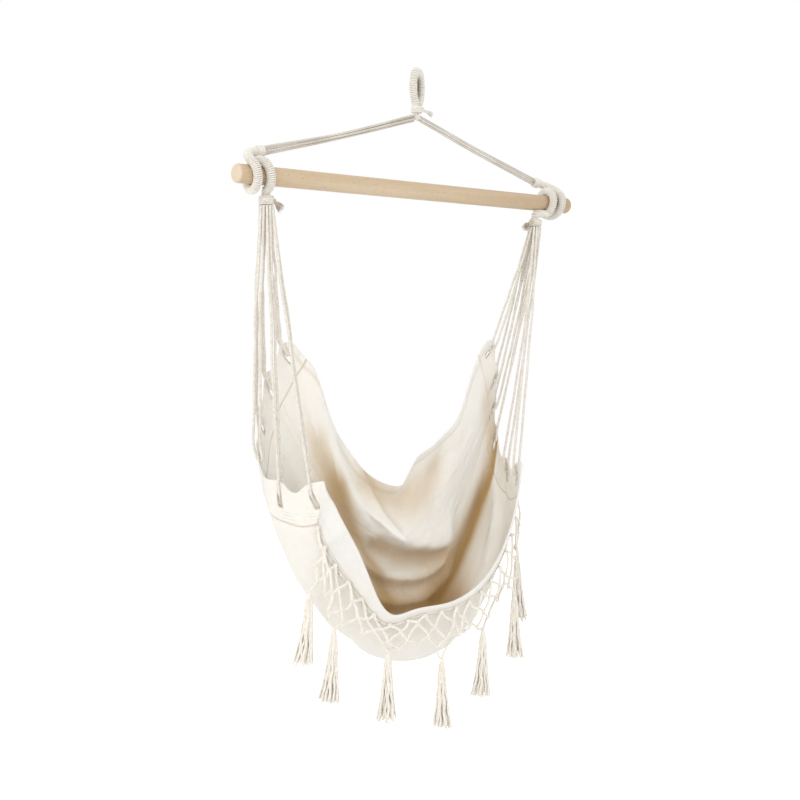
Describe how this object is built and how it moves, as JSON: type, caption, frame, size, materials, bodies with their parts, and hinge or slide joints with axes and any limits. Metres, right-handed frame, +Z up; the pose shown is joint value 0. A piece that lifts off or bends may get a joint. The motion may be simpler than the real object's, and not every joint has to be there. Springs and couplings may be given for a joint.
{
  "type": "hanging hammock chair",
  "caption": "Hanging hammock chair: rope eye, wooden spreader bar, corded canvas seat with knotted netting and tassels.",
  "frame": {"origin": "inside top of the hanging eye, where the hook carries it", "axes": "+Z up, +X along the spreader bar to the sitter's left, front of the seat towards -Y"},
  "size_m": [0.9, 0.2031, 1.3346],
  "materials": {
    "rope_cotton": "matte",
    "canvas": "matte",
    "fringe_cotton": "matte",
    "beech": "satin"
  },
  "bodies": {
    "hanger": {"hanging_eye": "rope_cotton", "throat_whipping": "rope_cotton"},
    "throat_tie": {"throat_tail": "rope_cotton"},
    "apex": {"apex_knot": "rope_cotton"},
    "suspension": {"suspension_cord_left_1": "rope_cotton", "suspension_cord_left_2": "rope_cotton", "suspension_cord_left_3": "rope_cotton", "suspension_cord_left_4": "rope_cotton", "top_whipping_left": "rope_cotton", "bar_hitch_left": "rope_cotton", "binding_left": "rope_cotton", "binding_tail_left": "rope_cotton", "suspension_cord_right_1": "rope_cotton", "suspension_cord_right_2": "rope_cotton", "suspension_cord_right_3": "rope_cotton", "suspension_cord_right_4": "rope_cotton", "top_whipping_right": "rope_cotton", "bar_hitch_right": "rope_cotton", "binding_right": "rope_cotton", "binding_tail_right": "rope_cotton"},
    "bar": {"spreader_bar": "beech"},
    "seat": {"seat_fabric": "canvas", "netting": "fringe_cotton", "seat_cord_left_1": "rope_cotton", "seat_cord_left_2": "rope_cotton", "seat_cord_left_3": "rope_cotton", "seat_cord_left_4": "rope_cotton", "seat_cord_left_5": "rope_cotton", "seat_cord_left_6": "rope_cotton", "seat_cord_right_1": "rope_cotton", "seat_cord_right_2": "rope_cotton", "seat_cord_right_3": "rope_cotton", "seat_cord_right_4": "rope_cotton", "seat_cord_right_5": "rope_cotton", "seat_cord_right_6": "rope_cotton"},
    "tassel_1_body": {"tassel_1": "fringe_cotton"},
    "tassel_2_body": {"tassel_2": "fringe_cotton"},
    "tassel_3_body": {"tassel_3": "fringe_cotton"},
    "tassel_4_body": {"tassel_4": "fringe_cotton"},
    "tassel_5_body": {"tassel_5": "fringe_cotton"},
    "tassel_6_body": {"tassel_6": "fringe_cotton"},
    "tassel_7_body": {"tassel_7": "fringe_cotton"}
  },
  "joints": [
    {"name": "spin_under_the_eye", "type": "hinge", "parent": "hanger", "child": "throat_tie", "pos_m": [0, 0, -0.0828], "axis": [0, 0, 1], "range_deg": [-180, 180]},
    {"name": "rock_sideways", "type": "hinge", "parent": "throat_tie", "child": "apex", "pos_m": [0, 0, -0.0828], "axis": [0, 1, 0], "range_deg": [-12, 12]},
    {"name": "swing_fore_and_aft", "type": "hinge", "parent": "apex", "child": "suspension", "pos_m": [0, 0, -0.0828], "axis": [1, 0, 0], "range_deg": [-30, 30]},
    {"name": "bar_roll", "type": "hinge", "parent": "suspension", "child": "bar", "pos_m": [0.008, 0, -0.23], "axis": [1, 0, 0], "continuous": true},
    {"name": "seat_tilt_under_the_bar", "type": "hinge", "parent": "suspension", "child": "seat", "pos_m": [0, -0.006, -0.27], "axis": [1, 0, 0], "range_deg": [-12, 12]},
    {"name": "tassel_1_swing", "type": "hinge", "parent": "seat", "child": "tassel_1_body", "pos_m": [-0.288, -0.012, -1.0175], "axis": [1, 0, 0], "range_deg": [-25, 25]},
    {"name": "tassel_2_swing", "type": "hinge", "parent": "seat", "child": "tassel_2_body", "pos_m": [-0.24998, -0.03972, -1.09098], "axis": [1, 0, 0], "range_deg": [-25, 25]},
    {"name": "tassel_3_swing", "type": "hinge", "parent": "seat", "child": "tassel_3_body", "pos_m": [-0.1319, -0.06114, -1.14776], "axis": [1, 0, 0], "range_deg": [-25, 25]},
    {"name": "tassel_4_swing", "type": "hinge", "parent": "seat", "child": "tassel_4_body", "pos_m": [0, -0.075, -1.1845], "axis": [1, 0, 0], "range_deg": [-25, 25]},
    {"name": "tassel_5_swing", "type": "hinge", "parent": "seat", "child": "tassel_5_body", "pos_m": [0.1319, -0.06114, -1.14776], "axis": [1, 0, 0], "range_deg": [-25, 25]},
    {"name": "tassel_6_swing", "type": "hinge", "parent": "seat", "child": "tassel_6_body", "pos_m": [0.24998, -0.03972, -1.09098], "axis": [1, 0, 0], "range_deg": [-25, 25]},
    {"name": "tassel_7_swing", "type": "hinge", "parent": "seat", "child": "tassel_7_body", "pos_m": [0.288, -0.012, -1.0175], "axis": [1, 0, 0], "range_deg": [-25, 25]}
  ]
}
